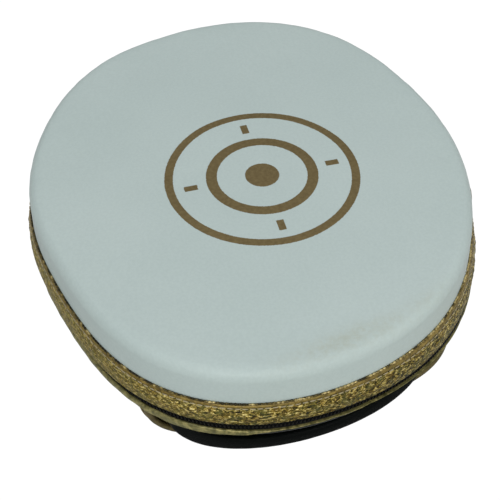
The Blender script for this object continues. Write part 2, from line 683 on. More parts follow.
def face_piece():
    n = 480
    th, L = arclength_grid(n)
    r = radius(th) - waist(th)
    prof = catmull([(o, FACE_Z + h) for o, h in EDGE], 6)
    rings = []      # arrays (n,3)
    sx, cx = np.sin(th), np.cos(th)
    S = np.linspace(0.015, 1.0, 46)
    r_in = r + EDGE[0][0]
    for s in S[:-1]:
        rings.append(np.stack([r_in * s * sx, r_in * s * cx, np.full(n, FACE_Z)], -1))
    for o, z in prof:
        rings.append(np.stack([(r + o) * sx, (r + o) * cx, np.full(n, z)], -1))
    n_out = len(rings)
    # seam turn-under
    for o, z in [(-0.25, SEAM_Z - 0.22), (-0.8, SEAM_Z - 0.3), (-1.35, SEAM_Z - 0.2)]:
        rings.append(np.stack([(r + o) * sx, (r + o) * cx, np.full(n, z)], -1))
    inner = [(o - 1.5 * w, z - 1.5 * q) for (o, z), w, q in zip(prof[::-4], np.linspace(1, 0.25, len(prof[::-4])), np.linspace(0.1, 1, len(prof[::-4])))]
    for o, z in inner:
        rings.append(np.stack([(r + o) * sx, (r + o) * cx, np.full(n, z)], -1))
    ri = r + inner[-1][0]
    zi = inner[-1][1]
    for s in (0.7, 0.4, 0.03):
        rings.append(np.stack([ri * s * sx, ri * s * cx, np.full(n, zi)], -1))
    A = np.array(rings)
    # soft leather: a slight crown, taut shallow dents near the edge, faint drag lines at the seam
    for k in range(n_out):
        for i in range(n):
            x, y, z = A[k, i]
            rho = min(1.0, math.hypot(x, y) / r[i])
            crown = 0.55 * (1 - rho ** 2)
            low = nz(x, y, 0, 0.022, 3.1) * 0.55 + nz(x, y, 0, 0.055, 7.7) * 0.22
            edge_w = math.exp(-((rho - 0.93) / 0.06) ** 2)
            drag = nz(th[i] * 9.0, z * 0.06, 1.3, 1.0, 5.5) * 0.35 * edge_w
            fade = 1.0 if z > SEAM_Z + 6 else max(0.0, (z - SEAM_Z) / 6)
            A[k, i, 2] = z + (crown + low * (1 - 0.5 * rho)) * fade
            rad = math.hypot(x, y)
            if rad > 1e-6:
                push = (drag + 0.25 * nz(th[i] * 22, z * 0.1, 0, 1.0, 9.1) * edge_w) * fade
                A[k, i, 0] += x / rad * push
                A[k, i, 1] += y / rad * push
    m = len(rings)
    v = A.reshape(-1, 3)
    faces = []
    for k in range(m - 1):
        for i in range(n):
            j = (i + 1) % n
            faces.append((k * n + i, k * n + j, (k + 1) * n + j, (k + 1) * n + i))
    faces.append(tuple(range(n))[::-1])
    faces.append(tuple((m - 1) * n + i for i in range(n)))
    o = link("strike_face_cover", v, faces)
    return recalc(o)


put(face_piece(), M_FACE, nodes=("face_skin",))


# ------------------------------------------------------------------ rim
def ramp01(v, a, b):
    q = min(1.0, max(0.0, (v - a) / (b - a)))
    return q * q * (3 - 2 * q)


def flare(th):
    """the zip and the strip under it stand out a little further on the thumb side"""
    g = math.degrees(th) % 360
    return 1.2 * ramp01(g, 80, 106) * (1 - ramp01(g, 138, 172))


def seam_drop(th):
    """the smooth strip is wider on the thumb side, so the topstitch runs lower there"""
    g = math.degrees(th) % 360
    return 0.95 * ramp01(g, 40, 80) * (1 - ramp01(g, 152, 186))


def zip_drop(th):
    """the metallic band is wider and the zip sits lower on the thumb side"""
    g = math.degrees(th) % 360
    return 2.05 * ramp01(g, 45, 85) * (1 - ramp01(g, 152, 188))


def low_edges(th):
    """top and bottom height of the strip under the zip: narrow from the wrist end round the thumb side"""
    g = math.degrees(th) % 360
    near = ramp01(g, 40, 80) * (1 - ramp01(g, 187, 199))
    side = ramp01(g, 40, 80) * (1 - ramp01(g, 150, 182))
    top = -0.35 * near - 1.40 * side
    bottom = 1.80 * near - 1.25 * side
    bottom -= 0.90 * ramp01(g, 198, 205) * (1 - ramp01(g, 213, 223))
    return top, bottom


def lap_out(th):
    """the side wall bulges out where its two ends lap, on the thumb side"""
    g = math.degrees(th) % 360
    return 0.9 * ramp01(g, 36, 62) * (1 - ramp01(g, 78, 104))


def angles(P):
    return np.arctan2(P[:, 0], P[:, 1])


def bead_piping():
    per = 6
    _, L = arclength_grid(16, 1.0)
    beads = int(round(L / 1.55))
    n = beads * per
    m = 8
    th, L = arclength_grid(n)
    ph = (np.arange(n) % per) / per
    swell = 0.12 + 0.37 * np.abs(np.sin(np.pi * ph)) ** 0.7
    jit = np.array([1 + 0.14 * math.sin(i // per * 12.9898) for i in range(n)])
    swell = swell * jit
    ang = np.linspace(0, 2 * np.pi, m, endpoint=False)
    off = 0.40 + swell[:, None] * np.cos(ang)[None]
    z = SEAM_Z - 0.10 + swell[:, None] * np.sin(ang)[None] * 0.9
    R = (radius(th) - waist(th))[:, None] + off
    v = np.stack([R * np.sin(th)[:, None], R * np.cos(th)[:, None], z], -1).reshape(-1, 3)
    f = [(i * m + j, ((i + 1) % n) * m + j, ((i + 1) % n) * m + (j + 1) % m, i * m + (j + 1) % m) for i in range(n) for j in range(m)]
    return recalc(link("bead_piping", v, f))


put(bead_piping(), M_BEAD, nodes=("seam_piping",))


def lerp_prof(a, b, k):
    return [(a[0] + (b[0] - a[0]) * i / k, a[1] + (b[1] - a[1]) * i / k) for i in range(k + 1)]


def strip_disp(th, L, m):
    n = len(th)
    d = np.zeros((n, m)); e = np.zeros((n, m))
    for i in range(n):
        q = 0.10 * nz(math.cos(th[i]) * 30, math.sin(th[i]) * 30, 0, 1.0, 2.2)
        d[i] += q - 0.85 * waist(th[i])
        e[i] += 0.12 * nz(math.cos(th[i]) * 9, math.sin(th[i]) * 9, 5, 1.0, 4.4)
        for k in range(m):
            e[i, k] -= seam_drop(th[i]) * ramp01(SEAM_Z - strip[k][1], 0.7, 1.4)
            d[i, k] += 0.20 * seam_drop(th[i]) * ramp01(SEAM_Z - strip[k][1], 0.7, 1.4)
    return d, e


strip = [(0.32, SEAM_Z - 0.48), (0.64, SEAM_Z - 0.52), (0.90, SEAM_Z - 0.75), (1.04, SEAM_Z - 1.02), (1.12, SEAM_Z - 1.32),
         (1.00, SEAM_Z - 1.55), (0.50, SEAM_Z - 1.45), (0.1, SEAM_Z - 1.1), (0.05, SEAM_Z - 0.65)]
put(sweep("smooth_gold_strip", strip, 720, strip_disp), M_STRIP, nodes=("gusset_top_binding",))

GT, GB = (1.05, SEAM_Z - 1.35), (2.53, GOLD_LOW_Z)
ROWS = 22


def gusset_disp(th, L, m):
    n = len(th)
    d = np.zeros((n, m)); e = np.zeros((n, m))
    for i in range(n):
        s = i / n * L
        big = 0.30 * nz(math.cos(th[i]) * 14, math.sin(th[i]) * 14, 0, 1.0, 1.2)
        wav = 0.22 * nz(math.cos(th[i]) * 30, math.sin(th[i]) * 30, 3, 1.0, 6.2)
        side_out = lap_out(th[i])
        for k in range(ROWS + 1):
            t = k / ROWS
            env = math.sin(math.pi * t) ** 0.5 if 0 < t < 1 else 0
            c = noise.noise(Vector((s * 0.55, t * 4.2, 0.5)))
            c2 = noise.noise(Vector((s * 1.3, t * 9.0, 7.5)))
            c3 = abs(noise.noise(Vector((s * 0.22, t * 5.0, 3.5))))
            d[i, k] = big * env + env * (0.30 * c + 0.14 * c2 - 0.28 * c3 + 0.45 * math.sin(math.pi * t))
            e[i, k] = wav * (1 - 0.5 * env) * (0.4 + 0.6 * t) - seam_drop(th[i]) * (1 - t)
            d[i, k] += 0.2 * seam_drop(th[i]) * (1 - t)
            e[i, k] -= zip_drop(th[i]) * t
            d[i, k] -= 0.7 * waist(th[i]) * (1 - t) ** 2
            d[i, k] += side_out * t
        e[i, ROWS + 1:] = 0
    return d, e


gus = lerp_prof(GT, GB, ROWS) + [(GB[0] - 0.55, GB[1] - 0.25), (GB[0] - 1.05, GB[1] + 0.1), (GT[0] - 0.95, GT[1] - 0.4), (GT[0] - 0.7, GT[1] + 0.1)]
put(sweep("upper_gusset_leather", gus, 1600, gusset_disp), M_GOLDM, nodes=("upper_gusset",))

# topstitch along the top of the metallic band
P, T, O = rim_frame(2.7, 1.36, SEAM_Z - 1.55, slope=0.2)
jz = np.array([0.10 * math.sin(i * 7.3) for i in range(len(P))])
P[:, 2] += jz - np.array([seam_drop(t) for t in angles(P)])
P += O * np.array([[0.2 * seam_drop(t) - 0.55 * waist(t)] for t in angles(P)]) * np.array([1, 1, 0])
put(capsule_run("gusset_topstitch", P, T, O, 2.15, 0.25, 0.8), M_THREAD)

# lower gold strip, with its own stitch line
LT, LB = (1.0, ZIP_LOW_Z), (0.88, RIM_LOW_Z)


def low_disp(th, L, m):
    n = len(th)
    d = np.zeros((n, m)); e = np.zeros((n, m))
    for i in range(n):
        q = 0.22 * nz(math.cos(th[i]) * 18, math.sin(th[i]) * 18, 0, 1.0, 8.2)
        w = 0.22 * nz(math.cos(th[i]) * 22, math.sin(th[i]) * 22, 3, 1.0, 3.2)
        d[i, :9] = q
        e[i, :9] = w
        top, bottom = low_edges(th[i])
        for k in range(m):
            t = (LV - low[k][1]) / (LV - LB[1])
            e[i, k] += top * (1 - t) + bottom * t
        d[i] += flare(th[i])
    return d, e


LV = LT[1] - 0.9       # visible top of the strip
low = [(0.35, LV + 0.02), (0.75, LV - 0.05), (1.10, LV - 0.35), (1.28, LV - 0.8), (1.30, LV - 1.2), (1.30, LV - 1.45),
       (1.32, LV - 1.7), (1.36, LB[1] + 0.28), (1.1, LB[1] - 0.02), (0.6, LB[1] + 0.02), (0.1, LB[1] + 0.3), (0.05, LV - 0.2)]
put(sweep("lower_gusset_leather", low, 900, low_disp), mat_gold_lower(), nodes=("lower_gusset",))
P, T, O = rim_frame(2.6, 1.25, LV - 1.62, slope=0.0)
deg = np.degrees(angles(P)) % 360
far = (deg > 232) | (deg < 38)
P, T, O = P[far], T[far], O[far]
put(capsule_run("lower_gusset_stitch", P, T, O, 1.9, 0.14, 0.5), M_THREADL)

# zip: tape edges and interlocked coil teeth
tp = [(0.05, GOLD_LOW_Z + 5.3), (0.05, GOLD_LOW_Z - 1.4), (-0.55, GOLD_LOW_Z - 1.4), (-0.6, GOLD_LOW_Z + 5.3)]
def tape_disp(th, L, m):
    return np.array([[flare(t)] * m for t in th]), np.array([[-zip_drop(t)] * m for t in th])


put(sweep("zip_tape_top", tp, 480, tape_disp), M_TAPE, nodes=("zip_tape_upper",))
tp = [(-0.1, ZIP_LOW_Z + 1.4), (-0.1, RIM_LOW_Z + 0.4), (-0.8, RIM_LOW_Z + 0.4), (-0.75, ZIP_LOW_Z + 1.4)]
put(sweep("zip_tape_bottom", tp, 480, tape_disp), M_TAPE, nodes=("zip_tape_lower",))


def coil(name, z_root, z_tip, phase):
    """one row of coil teeth: each tooth is a bent loop of nylon, head at z_tip"""
    P, T, O = rim_frame(1.45, 0.0, 0.0, phase=phase)
    O[:, 2] = 0
    P += O * np.array([[flare(t)] for t in angles(P)])
    path = [(-0.25, 0.0), (0.35, 0.02), (0.72, 0.22), (0.85, 0.5), (0.80, 0.80), (0.45, 1.0), (0.0, 0.98), (-0.4, 0.8)]
    wid = [0.30, 0.33, 0.35, 0.35, 0.41, 0.46, 0.41, 0.33]
    thk = [0.22, 0.25, 0.26, 0.27, 0.30, 0.34, 0.30, 0.22]
    seg = 8
    unit, faces = [], []
    pts = np.array([(a, z_root + (z_tip - z_root) * b) for a, b in path])
    tg = np.gradient(pts, axis=0)
    tg /= np.linalg.norm(tg, axis=1)[:, None]
    for (a, z), t, w, k in zip(pts, tg, wid, thk):
        nx, nzz = t[1], -t[0]
        for j in range(seg):
            b = 2 * math.pi * j / seg
            unit.append((w * math.cos(b), a + nx * k * math.sin(b), z + nzz * k * math.sin(b)))
    r = len(path)
    for i in range(r - 1):
        for j in range(seg):
            k = (j + 1) % seg
            faces.append((i * seg + j, i * seg + k, (i + 1) * seg + k, (i + 1) * seg + j))
    faces.append(tuple(range(seg)))
    faces.append(tuple((r - 1) * seg + j for j in range(seg))[::-1])
    U = np.array(unit)
    v = P[:, None] + T[:, None] * U[None, :, :1] + O[:, None] * U[None, :, 1:2]
    v[:, :, 2] = U[None, :, 2] - np.array([[zip_drop(t)] for t in angles(P)])
    nf = []
    for i in range(len(P)):
        nf += [tuple(q + i * len(U) for q in f) for f in faces]
    return recalc(link(name, v.reshape(-1, 3), nf))


ZM = (ZIP_LOW_Z + GOLD_LOW_Z) / 2
put(coil("zip_coil_top", GOLD_LOW_Z - 0.25, ZM - 0.45, 0.0), M_NYLON, nodes=("zip_coil_upper",))
put(coil("zip_coil_bottom", ZIP_LOW_Z + 0.25, ZM + 0.45, 0.5), M_NYLON, nodes=("zip_coil_lower",))


# lap tab where the side wall's two ends meet
def rim_patch(name, th0, th1, outer, thick, n=40, puff=0.25, corner=1.2):
    """rounded-end patch lying on the side wall between two outline angles (degrees)"""
    t = np.radians(np.linspace(th0, th1, n))
    rows = len(outer)
    o = np.array(outer)
    v, f = [], []
    for side in (0, 1):
        for i in range(n):
            u = i / (n - 1)
            end = min(u, 1 - u) * n / 3.0
            k = min(1.0, end) ** 0.5
            zc = o[:, 1].mean()
            for j in range(rows):
                w = j / (rows - 1)
                off = o[j, 0] + (thick + puff * math.sin(math.pi * w) * k if side else 0.0) * (k if side else 1)
                z = zc + (o[j, 1] - zc) * (0.90 + 0.10 * k)
                r = radius(t[i]) + off + lap_out(t[i]) * w
                v.append((r * math.sin(t[i]), r * math.cos(t[i]), z))
    q = n * rows
    for i in range(n - 1):
        for j in range(rows - 1):
            a = i * rows + j
            f.append((a, a + 1, a + rows + 1, a + rows))
            f.append((q + a, q + a + rows, q + a + rows + 1, q + a + 1))
    for i in range(n - 1):
        for j in (0, rows - 1):
            a = i * rows + j
            f.append((a, a + rows, q + a + rows, q + a))
    for j in range(rows - 1):
        for i in (0, n - 1):
            a = i * rows + j
            f.append((a, a + 1, q + a + 1, q + a))
    o2 = cleanup(link(name, v, f))
    return o2


lap = lerp_prof((1.62, SEAM_Z - 1.2), (2.95, GOLD_LOW_Z + 0.1), 8)
lp = rim_patch("rim_lap_tab", 90.5, 105.0, lap, 0.95)
put(lp, M_GOLD, nodes=("gusset_lap_tab",))

# ------------------------------------------------------------------ back panel
def panel():
    n = 360
    th, L = arclength_grid(n)
    r = radius(th)
    sx, cx = np.sin(th), np.cos(th)
    rings = []
    zt, zb = PANEL_Z[1], PANEL_Z[0]
    for s in (0.02, 0.5, 0.97):
        rings.append([(r - 1.2) * s * sx, (r - 1.2) * s * cx, np.full(n, zt)])
    for off, z in [(-0.9, zt), (-0.45, zt - 0.25), (-0.2, zt - 0.8), (-0.35, zb + 0.4), (-0.9, zb + 0.05)]:
        rings.append([(r + off) * sx, (r + off) * cx, np.full(n, z)])
    for s in np.linspace(1.0, 0.02, 34):
        rings.append([(r - 1.5) * s * sx, (r - 1.5) * s * cx, np.full(n, zb)])
    A = np.array([np.stack(q, -1) for q in rings])
    for k in range(8, len(A)):
        for i in range(n):
            x, y, z = A[k, i]
            A[k, i, 2] = z + 0.35 * nz(x, y, 0, 0.05, 4.0) - 0.1
    m = len(rings)
    f = []
    for k in range(m - 1):
        for i in range(n):
            j = (i + 1) % n
            f.append((k * n + i, k * n + j, (k + 1) * n + j, (k + 1) * n + i))
    f.append(tuple(range(n)))
    f.append(tuple((m - 1) * n + i for i in range(n)))
    return recalc(link("back_panel_mesh", A.reshape(-1, 3), f))


put(panel(), M_MESH, nodes=("back_panel",))
P, T, O = rim_frame(3.4, -4.5, PANEL_Z[0] - 0.12)
O[:] = (0, 0, -1)
put(capsule_run("back_panel_stitch", P, T, O, 2.5, 0.24, 0.8), M_THREADB)


# palm ball
def palm_ball():
    cx, cy, R, H, top = 0.0, 2.0, 36.0, 13.5, PANEL_Z[0] - 0.1
    n, m = 96, 26
    v, f = [], []
    for k in range(m):
        t = k / (m - 1)
        rho = math.sin(t * math.pi / 2)
        z = top - H * math.cos(t * math.pi / 2) ** 0.85 if k < m - 1 else top
        for i in range(n):
            a = 2 * math.pi * i / n
            seam = 0.0
            for s in (0, math.pi / 2, math.pi, 3 * math.pi / 2):
                d = abs((a - s + math.pi) % (2 * math.pi) - math.pi) * max(rho, 0.02) * R
                seam = max(seam, math.exp(-(d / 1.1) ** 2))
            q = R * max(rho, 0.004)
            x, y = cx + q * math.cos(a), cy + q * math.sin(a)
            zz = z + (0.55 * seam + 0.25 * nz(x, y, z, 0.09, 1.0)) * math.cos(t * math.pi / 2)
            v.append((x, y, min(zz, top)))
    for k in range(m - 1):
        for i in range(n):
            j = (i + 1) % n
            f.append((k * n + i, k * n + j, (k + 1) * n + j, (k + 1) * n + i))
    f.append(tuple(range(n)))
    f.append(tuple((m - 1) * n + i for i in range(n)))
    return recalc(link("palm_ball_skin", v, f))


put(palm_ball(), M_BLACK, nodes=("palm_ball_cover",))


# ------------------------------------------------------------------ arches: hand cover and cuff
def arch_surface(name, table, y0, y1, d, top, ny, nt, disp=None, smooth=True, t0=0.0, t1=math.pi, p=3.0):
    """one-layer arch surface at inset d, as a grid; returns the object"""
    ys = np.linspace(y0, y1, ny)
    xc, a, zb = (smooth_table if smooth else stations)(table, ys)
    t = np.linspace(t0, t1, nt)
    # more even spacing along the arch
    t = t - 0.22 * np.sin(4 * t) / 4 * 2
    G = np.zeros((ny, nt, 3))
    for i in range(ny):
        x, z = dsec(xc[i], a[i] - d, zb[i] + d, top, t, p)
        G[i] = np.stack([x, np.full(nt, ys[i]), z], -1)
    if disp is not None:
        G = disp(G, ys, t)
    f = [(i * nt + j, i * nt + j + 1, (i + 1) * nt + j + 1, (i + 1) * nt + j) for i in range(ny - 1) for j in range(nt - 1)]
    return link(name, G.reshape(-1, 3), f), G


def grid_normals(G):
    du = np.gradient(G, axis=0)
    dv = np.gradient(G, axis=1)
    nn = np.cross(dv, du)
    nn /= np.linalg.norm(nn, axis=2)[:, :, None] + 1e-12
    c = np.array([0, 0, 46.0])
    sgn = np.sign(((G - np.array([0.0, 0, 46.0]))[:, :, [0, 2]] * nn[:, :, [0, 2]]).sum(2))
    return nn * np.where(sgn == 0, 1, sgn)[:, :, None]


def shell_from_grid(name, G, thick, cap_end=False):
    """closed shell: outer grid G and the same moved inwards by thick"""
    nn = grid_normals(G)
    ny, nt = G.shape[:2]
    I = G - nn * thick
    I[:, 0, 2] = G[:, 0, 2]; I[:, -1, 2] = G[:, -1, 2]
    v = np.concatenate([G.reshape(-1, 3), I.reshape(-1, 3)])
    q = ny * nt
    f = []
    for i in range(ny - 1):
        for j in range(nt - 1):
            a = i * nt + j
            f.append((a, a + 1, a + nt + 1, a + nt))
            f.append((q + a, q + a + nt, q + a + nt + 1, q + a + 1))
    for i in range(ny - 1):
        for j in (0, nt - 1):
            a = i * nt + j
            f.append((a, a + nt, q + a + nt, q + a))
    for j in range(nt - 1):
        for i in (0, ny - 1):
            a = i * nt + j
            f.append((a, a + 1, q + a + 1, q + a))
    return recalc(link(name, v, f))


def cutter(name, verts2d, axis, lo, hi):
    """prism from a closed 2-D outline; axis z: outline in x,y; axis x: outline in y,z"""
    n = len(verts2d)
    v = []
    for h in (lo, hi):
        for a, b in verts2d:
            v.append((a, b, h) if axis == "z" else (h, a, b))
    f = [tuple(range(n)), tuple(range(n, 2 * n))[::-1]] + [(i, (i + 1) % n, n + (i + 1) % n, n + i) for i in range(n)]
    return recalc(link(name, v, f, smooth=False))


def subtract(o, c):
    md = o.modifiers.new("cut", "BOOLEAN")
    md.operation = "DIFFERENCE"
    md.solver = "EXACT"
    md.object = c
    apply_mods(o)
    bpy.data.objects.remove(c)
    return o


def tube(name, pts, r, seg=10, closed=False, ry=None):
    P = np.array(pts, float)
    n = len(P)
    if closed:
        T = np.roll(P, -1, 0) - np.roll(P, 1, 0)
    else:
        T = np.gradient(P, axis=0)
    T /= np.linalg.norm(T, axis=1)[:, None]
    up = np.array([0.0, 0, 1]) if abs(T[0, 2]) < 0.9 else np.array([1.0, 0, 0])
    A = np.zeros_like(P); B = np.zeros_like(P)
    a = np.cross(T[0], up); a /= np.linalg.norm(a)
    for i in range(n):
        a = a - (a @ T[i]) * T[i]
        a /= np.linalg.norm(a)
        A[i] = a
        B[i] = np.cross(T[i], a)
    if closed:      # take out the twist left at the join
        a_end = A[-1] - (A[-1] @ T[0]) * T[0]
        a_end /= np.linalg.norm(a_end)
        tw = math.atan2(a_end @ B[0], a_end @ A[0])
        k = -tw * np.arange(n) / n
        A, B = A * np.cos(k)[:, None] + B * np.sin(k)[:, None], -A * np.sin(k)[:, None] + B * np.cos(k)[:, None]
    ang = np.linspace(0, 2 * np.pi, seg, endpoint=False)
    rr = r if not callable(r) else np.array([r(i / n) for i in range(n)])[:, None, None]
    v = P[:, None] + rr * (A[:, None] * np.cos(ang)[None, :, None] + B[:, None] * np.sin(ang)[None, :, None] * (ry or 1.0))
    f = []
    for i in range(n if closed else n - 1):
        j = (i + 1) % n
        for k in range(seg):
            l = (k + 1) % seg
            f.append((i * seg + k, j * seg + k, j * seg + l, i * seg + l))
    if not closed:
        f.append(tuple(range(seg)))
        f.append(tuple((n - 1) * seg + k for k in range(seg)))
    return recalc(link(name, v.reshape(-1, 3), f))


def cover_disp(G, ys, t):
    """padded look: puffed panels between sewn lines, small creases, flat where it rests"""
    nn = grid_normals(G)
    for i, y in enumerate(ys):
        for j in range(G.shape[1]):
            x, _, z = G[i, j]
            # sewn line across the cover where the wrist part begins, and two long seams
            d1 = abs(y + 31.0)
            d2 = abs(abs(x - 1.0) - 40.0) if z < 30 else 9
            groove = max(math.exp(-(d1 / 1.4) ** 2), math.exp(-(d2 / 1.3) ** 2) * (1 if y > -30 else 0))
            puff = -0.75 * groove + 0.35 * nz(x, y, z, 0.035, 2.0) + 0.18 * nz(x, y, z, 0.11, 6.0)
            edge = min(1.0, (COVER_TOP - z) / 5.0) * min(1.0, (y + 76.0) / 4.0 + 0.15)
            G[i, j] = G[i, j] + nn[i, j] * puff * max(0.0, edge)
            if G[i, j, 2] < 0.0:
                G[i, j, 2] = 0.0
    return G


def end_cap(G, n=7):
    """rounds the finger end of the cover in to a flattened nose"""
    last = G[-1]
    rows = []
    c = np.array([0.0, last[0, 1], COVER_TOP])
    for k in range(1, n + 1):
        a = k / n * math.pi / 2
        s = math.cos(a)
        q = last.copy()
        q[:, 0] = q[:, 0] * (0.04 + 0.96 * s)
        q[:, 2] = COVER_TOP - (COVER_TOP - last[:, 2]) * (0.04 + 0.96 * s)
        q[:, 1] = last[:, 1] + 4.2 * math.sin(a)
        rows.append(q)
    return np.concatenate([G, np.array(rows)])


ny, nt = ((150, 170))
tmp, G = arch_surface("tmp", COVER, -76.0, 80.5, 0.0, COVER_TOP, ny, nt, cover_disp)
bpy.data.objects.remove(tmp)
G = end_cap(G)
cover = shell_from_grid("hand_cover_leather", G, 1.8)
slit = [(-6, -90), (6, -90)] + [(6 * math.cos(a), -46 + 6 * math.sin(a)) for a in np.linspace(0, math.pi, 17)]
subtract(cover, cutter("slit", slit, "z", -8, 22))
th_o = []
y0, y1, z0, z1, rc = THUMB_Y[0] + 4, THUMB_Y[1] - 4, 14.0, 37.0, 6.0
for cx_, cz_, a0 in ((y1 - rc, z1 - rc, 0), (y0 + rc, z1 - rc, 90), (y0 + rc, z0 + rc, 180), (y1 - rc, z0 + rc, 270)):
    for k in range(7):
        a = math.radians(a0 + 15 * k)
        th_o.append((cx_ + rc * math.cos(a), cz_ + rc * math.sin(a)))
subtract(cover, cutter("thumb", th_o, "x", 50, 90))
cleanup(cover)
cover.data.polygons.foreach_set("use_smooth", [True] * len(cover.data.polygons))
md = cover.modifiers.new("wn", "WEIGHTED_NORMAL"); md.keep_sharp = True
apply_mods(cover)
put(cover, M_GOLD, nodes=("hand_cover",))


def z_on(table, x, y, d=0.0, top=COVER_TOP, p=3.0):
    xc, a, zb = (float(q[0]) for q in smooth_table_at(table, y))
    u = min(1.0, abs(x - xc) / (a - d))
    return top - (top - zb - d) * (1 - u ** p) ** (1 / p)


_dense = {}


def smooth_table_at(table, y):
    key = id(table)
    if key not in _dense:
        ys = np.linspace(table[0][0], table[-1][0], 800)
        _dense[key] = (ys, smooth_table(table, ys))
    ys, cols = _dense[key]
    return [[np.interp(y, ys, c)] for c in cols]


# bindings on the cover's mouth and round the slit
xc, a, zb = (float(q[0]) for q in smooth_table_at(COVER, -76.0))
t = np.linspace(0, math.pi, 120)
x, z = dsec(xc, a - 0.9, zb + 0.9, COVER_TOP, t)
keep = np.abs(x) > 6.5
mouth = np.stack([x, np.full_like(x, -76.2), z], -1)
left = mouth[(x < 0) & keep]
right = mouth[(x > 0) & keep]
sl = []
for k in range(30):
    yy = -75.5 + 29.5 * k / 29
    sl.append((-6.0, yy, z_on(COVER, -6, yy) + 0.9))
for aa in np.linspace(math.pi, 0, 14)[1:-1]:
    sl.append((6 * math.cos(aa), -46 + 6 * math.sin(aa), z_on(COVER, 6 * math.cos(aa), -46 + 6 * math.sin(aa)) + 0.9))
for k in range(30):
    yy = -46 - 29.5 * k / 29
    sl.append((6.0, yy, z_on(COVER, 6, yy) + 0.9))
full = np.concatenate([left, np.array(sl), right])
bind = tube("cover_edge_binding", full, 1.35, 10)
put(bind, mat_gold_plain("gold_edge_binding", 0.8))

# thumb hole binding
hole = [(66.0, y_, z_) for y_, z_ in th_o]
hp = []
for _, y_, z_ in hole:
    xs, zs = dsec(*[float(q[0]) for q in smooth_table_at(COVER, y_)], COVER_TOP, np.linspace(math.pi * 0.5, math.pi, 200))
    k = np.argmin(np.abs(zs - z_))
    hp.append((xs[k] - 0.9, y_, z_))
put(tube("thumb_hole_binding", hp, 1.25, 8, closed=True), M_BLACK)

# stitch lines on the cover
def surf_pt(table, x, y, d):
    return (x, y, z_on(table, x, y) - d)


def stitch_line(name, pts, pitch=3.4, length=2.4, rad=0.26, mat=None, lift=(0, 0, -1), body=RIDE):
    P = np.array(pts, float)
    s = np.concatenate([[0], np.cumsum(np.linalg.norm(np.diff(P, axis=0), axis=1))])
    n = max(2, int(s[-1] / pitch))
    q = (np.arange(n) + 0.5) / n * s[-1]
    Q = np.stack([np.interp(q, s, P[:, k]) for k in range(3)], -1)
    Q2 = np.stack([np.interp(np.clip(q + 0.3, 0, s[-1]), s, P[:, k]) for k in range(3)], -1)
    Q1 = np.stack([np.interp(np.clip(q - 0.3, 0, s[-1]), s, P[:, k]) for k in range(3)], -1)
    T = Q2 - Q1
    if callable(lift):
        O = np.array([lift(p) for p in Q])
    else:
        O = np.tile(np.array(lift, float), (n, 1))
    o = capsule_run(name, Q, T, O, length, rad, 0.7)
    put(o, mat or M_THREAD, body=body)
    return o


def arch_line(table, y, d, lo=0.02, hi=0.98, n=160, top=COVER_TOP, p=3.0):
    t = np.linspace(math.pi * lo, math.pi * hi, n)
    xc, a, zb = (float(q[0]) for q in smooth_table_at(table, y))
    x, z = dsec(xc, a - d, zb + d, top, t, p)
    return np.stack([x, np.full(n, y), z], -1)


out_of = lambda p: np.array([p[0] - 1.0, 0, p[2] - 40.0])
stitch_line("cover_cross_stitch_a", arch_line(COVER, -32.6, 0.15), lift=out_of)
stitch_line("cover_cross_stitch_b", arch_line(COVER, -29.4, 0.2), lift=out_of)
for sx_, nm in ((-1, "l"), (1, "r")):
    for dd, tag in ((-1.6, "a"), (1.6, "b")):
        xs = 1.0 + sx_ * (40.0 + dd)
        yy = np.linspace(-27, 58, 120)
        stitch_line("cover_long_stitch_%s%s" % (nm, tag), [(xs, y_, z_on(COVER, xs, y_) - 0.05) for y_ in yy])
ln = arch_line(COVER, -72.8, -0.05)
stitch_line("cover_mouth_stitch_l", ln[ln[:, 0] < -8.5], lift=out_of)
stitch_line("cover_mouth_stitch_r", ln[ln[:, 0] > 8.5], lift=out_of)


# cover padding and lining: soft layers seen through the wrist opening
def soft_layer(name, d, thick, y0, y1, table=COVER, amp=0.25, seed=1.0, ny=60, nt=90, end=True, p=3.0):
    def dd(G, ys, t):
        nn = grid_normals(G)
        for i in range(G.shape[0]):
            for j in range(G.shape[1]):
                x, y, z = G[i, j]
                e = min(1.0, (COVER_TOP - z) / 6.0)
                G[i, j] += nn[i, j] * amp * e * (nz(x, y, z, 0.06, seed) - 0.3)
        return G
    tmp, G = arch_surface("tmp", table, y0, y1, d, COVER_TOP - 0.05, ny, nt, dd, p=p)
    bpy.data.objects.remove(tmp)
    if end:
        G = end_cap(G, 4)
    return shell_from_grid(name, G, thick)


pad = soft_layer("cover_padding_foam", 2.1, 4.3, -28.3, 71.5)
subtract(pad, cutter("thumb", th_o, "x", 50, 90))
put(cleanup(pad), M_FOAM, nodes=("hand_cover_padding",))
lin = soft_layer("cover_lining_mesh", 6.75, 0.9, -28.2, 68.0, amp=0.3, seed=4.0)
subtract(lin, cutter("thumb", th_o, "x", 50, 90))
put(cleanup(lin), M_LINING, nodes=("hand_cover_lining",))


# wrist cuff
def cuff_disp(G, ys, t):
    nn = grid_normals(G)
    for i, y in enumerate(ys):
        for j in range(G.shape[1]):
            x, _, z = G[i, j]
            e = min(1.0, (COVER_TOP - z) / 5.0)
            ch = 0.0
            for yc in (-80.5,):
                ch = max(ch, math.exp(-((y - yc) / 0.9) ** 2))
            q = -0.55 * ch + 0.28 * nz(x, y, z, 0.05, 3.0) + 0.15 * nz(x, y, z, 0.16, 8.0) - 0.12
            G[i, j] += nn[i, j] * q * e
    return G


